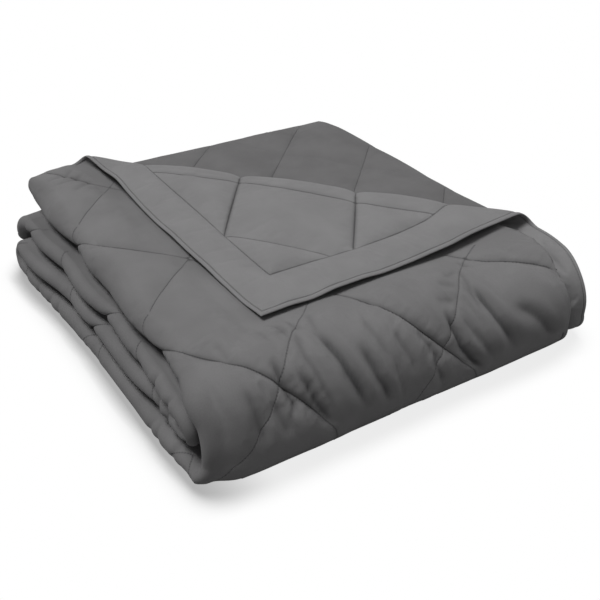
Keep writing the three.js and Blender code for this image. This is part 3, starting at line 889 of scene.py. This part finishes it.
moved = settled.reshape(-1, 3) / MM - places[loose_at]
far = np.linalg.norm(moved, axis=1, keepdims=True)
settle = 1 - fade(flat_v[loose_at], FRONT_END - 60, FRONT_END - 20) * (loose_at < count_outer)
places[loose_at] += moved * np.minimum(1, SWELL_CAP / np.maximum(far, 1e-6)) * settle[:, None]
bpy.context.scene.frame_set(1)
bpy.data.objects.remove(swell)
bpy.data.meshes.remove(swell_mesh)

# The creases are pressed in last, along the way that the outer shell faces.
outer_u, outer_v = flat_u[:count_outer], flat_v[:count_outer]
creases, crease_shade_share = crease_relief(outer_u, outer_v)
shown = seen_outside(outer_u, outer_v)
above_floor = 1 - fade(outer_v, FRONT_END - 36, FRONT_END - 16)
shown *= np.where((outer_v > TOP_RUN_END) & (outer_v < FRONT_END + 20), above_floor, 1)
places[:count_outer] += facing(outer_u, outer_v) * (creases * shown)[:, None]

# Painted shade darkens the colour in the creases, in the gap beside the right strip and along the seams
# that are drawn in deepest: the falling ones in front and the rising ones of the turned-back corner.
GAP_SHADE = 1.3
SEAM_SHADE_FRONT = 0.4
SEAM_SHADE_CORNER = 0.7
SEAM_SHADE_REACH = 2.2
painted_crease_shade = np.zeros(len(places))
gap_shade_line = np.exp(-(((outer_u - BORDER_WIDTH - 1) / 5) ** 2)) * fade(outer_v, CORNER_SUM - 40, CORNER_SUM)
painted_crease_shade[:count_outer] = np.maximum(crease_shade_share * shown, GAP_SHADE * (gap_shade_line * (outer_v < FRONT_END)))
falling, rising = [np.exp(-((away / SEAM_SHADE_REACH) ** 2)) for away, _ in seam_distances(flat_u, flat_v)]
inside = fade(quilted_distance(flat_u, flat_v), BORDER_WIDTH, BORDER_WIDTH + 6)
in_front = fade(flat_v, 380, 440) * (flat_v < FRONT_END) * (flat_u < TOP_LAYER_END)
painted_seam_shade = SEAM_SHADE_FRONT * falling * in_front
painted_seam_shade[count_outer:] = SEAM_SHADE_CORNER * (rising * (beyond_corner(flat_u, flat_v) > 30))[count_outer:]
painted_crease_shade = np.maximum(painted_crease_shade, painted_seam_shade * inside)
places[:, 2] = np.maximum(places[:, 2], 0)
blanket_mesh.vertices.foreach_set("co", (places * MM).ravel())
blanket_mesh.update()

blanket_mesh.polygons.foreach_set("use_smooth", [True] * len(blanket_mesh.polygons))
edge_ends = np.empty(len(blanket_mesh.edges) * 2, int)
blanket_mesh.edges.foreach_get("vertices", edge_ends)
one, other = edge_ends.reshape(-1, 2).T
from_edge = quilted_distance(flat_u, flat_v)
sewn = np.zeros(len(one), bool)
for seam in on_seam:
    sewn |= (seam[one] >= 0) & (seam[one] == seam[other])
for line in (BORDER_WIDTH, EDGE_BEAD):
    on_line = np.abs(from_edge - line) < SEWN_CLOSE
    sewn |= on_line[one] & on_line[other]
blanket_mesh.attributes.new("sharp_edge", "BOOLEAN", "EDGE").data.foreach_set("value", sewn)
stitch_away, stitch_run = stitch_lines(flat_u, flat_v)

# Painted light and shade in the cloth's colour: painted shade on the inner layer and round the left
# folds, painted light on the right strip and on the under side, which the turned-back corner shows.
PAINTED_SHADE_INNER = -1.0
PAINTED_SHADE_LEFT = -0.6
PAINTED_LIGHT_STRIP = 0.8
PAINTED_LIGHT_UNDER = 1.0
painted_light_shade = np.where(flat_u > RIGHT_FOLD_START, PAINTED_SHADE_INNER, 0.0)
painted_light_shade += PAINTED_SHADE_LEFT * fade(flat_u, TOP_LAYER_END - 10, TOP_LAYER_END + 8) * (flat_u < LEFT_FOLD_END + 20)
on_strip = (flat_u < BORDER_WIDTH) & (flat_v > CORNER_SUM - 40) & (flat_v < FRONT_END)
painted_light_shade[on_strip] = PAINTED_LIGHT_STRIP
painted_light_shade[count_outer:] = PAINTED_LIGHT_UNDER
drawn = {"stitch_away": stitch_away, "stitch_run": stitch_run, "painted_light_shade": painted_light_shade, "painted_crease_shade": painted_crease_shade}
for name, values in drawn.items():
    blanket_mesh.attributes.new(name, "FLOAT", "POINT").data.foreach_set("value", values)
corner_place = np.empty(len(blanket_mesh.loops), int)
blanket_mesh.loops.foreach_get("vertex_index", corner_place)
flat_map = blanket_mesh.uv_layers.new(name="flat_cloth")
flat_map.data.foreach_set("uv", (np.stack([flat_u, flat_v], -1)[corner_place] * MM).ravel())


def node_group(name, inputs, outputs):
    """A shader node group with number inputs and outputs, and its two end nodes."""
    group = bpy.data.node_groups.new(name, "ShaderNodeTree")
    for label in inputs:
        kind = "NodeSocketVector" if label == "Vector" else "NodeSocketFloat"
        group.interface.new_socket(label, in_out="INPUT", socket_type=kind)
    for label in outputs:
        group.interface.new_socket(label, in_out="OUTPUT", socket_type="NodeSocketFloat")
    return group, group.nodes.new("NodeGroupInput"), group.nodes.new("NodeGroupOutput")


def set_or_link(tree, socket, value):
    """Gives a socket a number or a colour, or joins it to another socket."""
    if isinstance(value, (int, float, tuple)):
        socket.default_value = value
    else:
        tree.links.new(value, socket)


def add_math(tree, operation, first, second):
    """A math node whose inputs are numbers or other sockets."""
    node = tree.nodes.new("ShaderNodeMath")
    node.operation = operation
    for socket, value in zip(node.inputs, (first, second)):
        set_or_link(tree, socket, value)
    return node.outputs[0]


def add_ramp(tree, value, low, high, to_low, to_high):
    """A smooth change from one value to another as a socket goes from low to high."""
    node = tree.nodes.new("ShaderNodeMapRange")
    node.interpolation_type = "SMOOTHSTEP"
    for k, number in enumerate((low, high, to_low, to_high)):
        node.inputs[k + 1].default_value = number
    tree.links.new(value, node.inputs[0])
    return node.outputs[0]


def set_inputs(node, values):
    for socket, value in values.items():
        node.inputs[socket].default_value = value


def add_noise(tree, vector, scale, detail):
    node = tree.nodes.new("ShaderNodeTexNoise")
    set_inputs(node, {"Scale": scale, "Detail": detail})
    tree.links.new(vector, node.inputs["Vector"])
    return node.outputs["Fac"]


# Stitching: a thread of the cloth's own grey, drawn down into the cloth, in stitches about 3 mm long.
STITCH_HALF = 1.6
stitching, given, result = node_group("lockstitch", ["Away", "Run"], ["Line", "Height"])
line = add_ramp(stitching, given.outputs["Away"], 0.3, 1.2, 1, 0)
step = add_math(stitching, "PINGPONG", given.outputs["Run"], STITCH_HALF)
thread = add_ramp(stitching, step, 0.1, 0.5, 0, 1)
dashed = add_math(stitching, "MULTIPLY", line, add_ramp(stitching, step, 0.2, 0.7, 1, 0.45))
stitching.links.new(dashed, result.inputs["Line"])
raised = add_math(stitching, "MULTIPLY", line, add_math(stitching, "SUBTRACT", thread, 1.6))
stitching.links.new(raised, result.inputs["Height"])

# Nap: the close weave under the brushed face, and the clouds that brushing leaves in its tone.
nap, given, result = node_group("brushed_nap", ["Vector"], ["Tone", "Height"])
weave = []
for direction in ("X", "Y"):
    threads = nap.nodes.new("ShaderNodeTexWave")
    threads.bands_direction = direction
    set_inputs(threads, {"Scale": 380, "Distortion": 1.2, "Detail": 1})
    nap.links.new(given.outputs["Vector"], threads.inputs["Vector"])
    weave.append(threads.outputs["Fac"])
fibres = add_noise(nap, given.outputs["Vector"], 900, 3)
clouds = add_noise(nap, given.outputs["Vector"], 16, 3)
woven = add_math(nap, "MULTIPLY", weave[0], weave[1])
nap.links.new(add_math(nap, "ADD", woven, add_math(nap, "MULTIPLY", fibres, 0.8)), result.inputs["Height"])
tone = add_math(nap, "ADD", add_math(nap, "MULTIPLY", clouds, 0.6), add_math(nap, "MULTIPLY", fibres, 0.4))
nap.links.new(tone, result.inputs["Tone"])

# The cloth itself reads its pattern from the flat cloth, so the weave and the stitches follow every fold.
cloth = bpy.data.materials.new("brushed_microfibre")
cloth.use_nodes = True
tree = cloth.node_tree
shader = tree.nodes["Principled BSDF"]
flat_cloth = tree.nodes.new("ShaderNodeUVMap")
flat_cloth.uv_map = "flat_cloth"
cloth_nap = tree.nodes.new("ShaderNodeGroup")
cloth_nap.node_tree = nap
tree.links.new(flat_cloth.outputs["UV"], cloth_nap.inputs["Vector"])
cloth_stitch = tree.nodes.new("ShaderNodeGroup")
cloth_stitch.node_tree = stitching


def read_attribute(tree, name):
    reader = tree.nodes.new("ShaderNodeAttribute")
    reader.attribute_name = name
    return reader.outputs["Fac"]


for name, socket in (("stitch_away", "Away"), ("stitch_run", "Run")):
    tree.links.new(read_attribute(tree, name), cloth_stitch.inputs[socket])


def add_mix(tree, share, first, second):
    """Mixes two colours; each is a colour or a socket."""
    node = tree.nodes.new("ShaderNodeMix")
    node.data_type = "RGBA"
    node.clamp_factor = False
    tree.links.new(share, node.inputs["Factor"])
    colours = [socket for socket in node.inputs if socket.type == "RGBA"]
    for socket, value in zip(colours, (first, second)):
        set_or_link(tree, socket, value)
    return node.outputs["Result"]


# The two tones of the brushed face, painted shade for a crease and for the sewn line, and the nap's sheen.
CLOTH_DARK = (0.1345, 0.1325, 0.134, 1)
CLOTH_LIGHT = (0.2045, 0.2025, 0.2045, 1)
CREASE_SHADE_COLOUR = (0.05, 0.05, 0.051, 1)
STITCH_GROOVE_SHADE = (0.045, 0.045, 0.046, 1)
SHEEN_TINT = (0.8, 0.8, 0.82, 1)
# Painted light and shade shift the cloth's tone here.
lie = add_math(tree, "MULTIPLY", read_attribute(tree, "painted_light_shade"), 0.5)
tone = add_math(tree, "ADD", add_ramp(tree, cloth_nap.outputs["Tone"], 0.3, 0.7, 0.3, 0.7), lie)
clouded = add_mix(tree, tone, CLOTH_DARK, CLOTH_LIGHT)
# Painted shade: the creases, the gap beside the strip and the deepest seams darken the cloth's colour.
painted_crease_mix = add_math(tree, "MULTIPLY", read_attribute(tree, "painted_crease_shade"), 0.7)
crease_shaded_colour = add_mix(tree, painted_crease_mix, clouded, CREASE_SHADE_COLOUR)
# Painted shade of the stitch groove darkens the sewn line.
stitch_shade_share = add_math(tree, "MULTIPLY", cloth_stitch.outputs["Line"], 0.7)
stitch_shaded_colour = add_mix(tree, stitch_shade_share, crease_shaded_colour, STITCH_GROOVE_SHADE)
tree.links.new(stitch_shaded_colour, shader.inputs["Base Color"])
tree.links.new(add_ramp(tree, cloth_nap.outputs["Tone"], 0.3, 0.7, 0.92, 0.8), shader.inputs["Roughness"])
set_inputs(shader, {"Specular IOR Level": 0.25, "Sheen Weight": 0.06})
set_inputs(shader, {"Sheen Roughness": 0.45, "Sheen Tint": SHEEN_TINT})


def add_bump(tree, height, strength, distance):
    node = tree.nodes.new("ShaderNodeBump")
    set_inputs(node, {"Strength": strength, "Distance": distance})
    tree.links.new(height, node.inputs["Height"])
    return node


stitch_bump = add_bump(tree, cloth_stitch.outputs["Height"], 0.8, 0.5 * MM)
nap_bump = add_bump(tree, cloth_nap.outputs["Height"], 0.3, 0.4 * MM)
tree.links.new(stitch_bump.outputs["Normal"], nap_bump.inputs["Normal"])
tree.links.new(nap_bump.outputs["Normal"], shader.inputs["Normal"])
blanket_mesh.materials.append(cloth)

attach(blanket, "root")
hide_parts("quilted_blanket")

# Studio: a plain white floor, a soft main light from above and the left, a weaker one from the right, and
# the camera where the photograph was taken. The floor glows white to the eye, with a painted soft shadow
# close to the blanket that is painted deeper on the left, and throws little light back.
FLOOR_SIZE = 14
SHADOW_REACH = 0.045
SHADOW_DEPTH = 0.58
SHADOW_RIGHT = 0.3
FLOOR_THROWN = (0.3, 0.3, 0.3, 1)
bpy.ops.object.select_all(action="DESELECT")
bpy.ops.mesh.primitive_plane_add(size=FLOOR_SIZE, location=(0, 0, 0))
floor = bpy.context.object
floor.name = "floor"
floor_paint = bpy.data.materials.new("floor_paint")
floor_paint.use_nodes = True
floor_tree = floor_paint.node_tree
floor_tree.nodes.clear()
# Painted shadow: the floor's glow is dimmed near the blanket by ambient occlusion, more on the left.
shadow_occlusion = floor_tree.nodes.new("ShaderNodeAmbientOcclusion")
shadow_occlusion.samples = 32
set_inputs(shadow_occlusion, {"Distance": SHADOW_REACH})
seen_floor = floor_tree.nodes.new("ShaderNodeEmission")
floor_place = floor_tree.nodes.new("ShaderNodeSeparateXYZ")
floor_tree.links.new(floor_tree.nodes.new("ShaderNodeTexCoord").outputs["Object"], floor_place.inputs[0])
shade = add_ramp(floor_tree, shadow_occlusion.outputs["AO"], 0.5, 0.97, SHADOW_DEPTH, 0)
deeper_left = add_ramp(floor_tree, floor_place.outputs["X"], -0.28, -0.18, 1, SHADOW_RIGHT)
shade = add_math(floor_tree, "MULTIPLY", shade, deeper_left)
floor_tree.links.new(add_math(floor_tree, "SUBTRACT", 1.0, shade), seen_floor.inputs["Strength"])
dim_floor = floor_tree.nodes.new("ShaderNodeBsdfDiffuse")
set_inputs(dim_floor, {"Color": FLOOR_THROWN})
floor_mix = floor_tree.nodes.new("ShaderNodeMixShader")
light_path = floor_tree.nodes.new("ShaderNodeLightPath")
floor_tree.links.new(light_path.outputs["Is Camera Ray"], floor_mix.inputs["Fac"])
floor_tree.links.new(dim_floor.outputs["BSDF"], floor_mix.inputs[1])
floor_tree.links.new(seen_floor.outputs["Emission"], floor_mix.inputs[2])
floor_output = floor_tree.nodes.new("ShaderNodeOutputMaterial")
floor_tree.links.new(floor_mix.outputs["Shader"], floor_output.inputs["Surface"])
floor.data.materials.append(floor_paint)

scene = bpy.context.scene
scene.view_settings.view_transform = "Standard"
scene.world = bpy.data.worlds.new("studio_air")
scene.world.use_nodes = True
set_inputs(scene.world.node_tree.nodes["Background"], {"Color": (1, 1, 1, 1), "Strength": 0.2})

# Each light has a strength, an angle across in degrees, and a direction that it comes from.
for name, strength, angle, source in (
    ("key_light", 2.5, 24, (-0.3, 0.16, 0.94)),
    ("right_light", 0.6, 50, (1.0, -0.1, 0.6)),
):
    lamp = bpy.data.objects.new(name, bpy.data.lights.new(name, "SUN"))
    lamp.data.energy = strength
    lamp.data.angle = math.radians(angle)
    lamp.rotation_euler = Vector(source).to_track_quat("Z", "Y").to_euler()
    scene.collection.objects.link(lamp)

# The camera, in metres and degrees, fitted to the blanket's outline in the photograph.
CAMERA_PLACE = (-0.5285, -0.8646, 0.6732)
LOOK_DOWN = 34.03
LOOK_RIGHT = 32.98
FOCAL_PIXELS = 872.0
FRAME_PIXELS = 600
SENSOR_WIDTH = 36
camera = bpy.data.objects.new("camera", bpy.data.cameras.new("camera"))
camera.location = CAMERA_PLACE
camera.rotation_euler = (math.radians(90 - LOOK_DOWN), 0, math.radians(-LOOK_RIGHT))
camera.data.sensor_width = SENSOR_WIDTH
camera.data.lens = FOCAL_PIXELS / FRAME_PIXELS * SENSOR_WIDTH
scene.collection.objects.link(camera)
scene.camera = camera
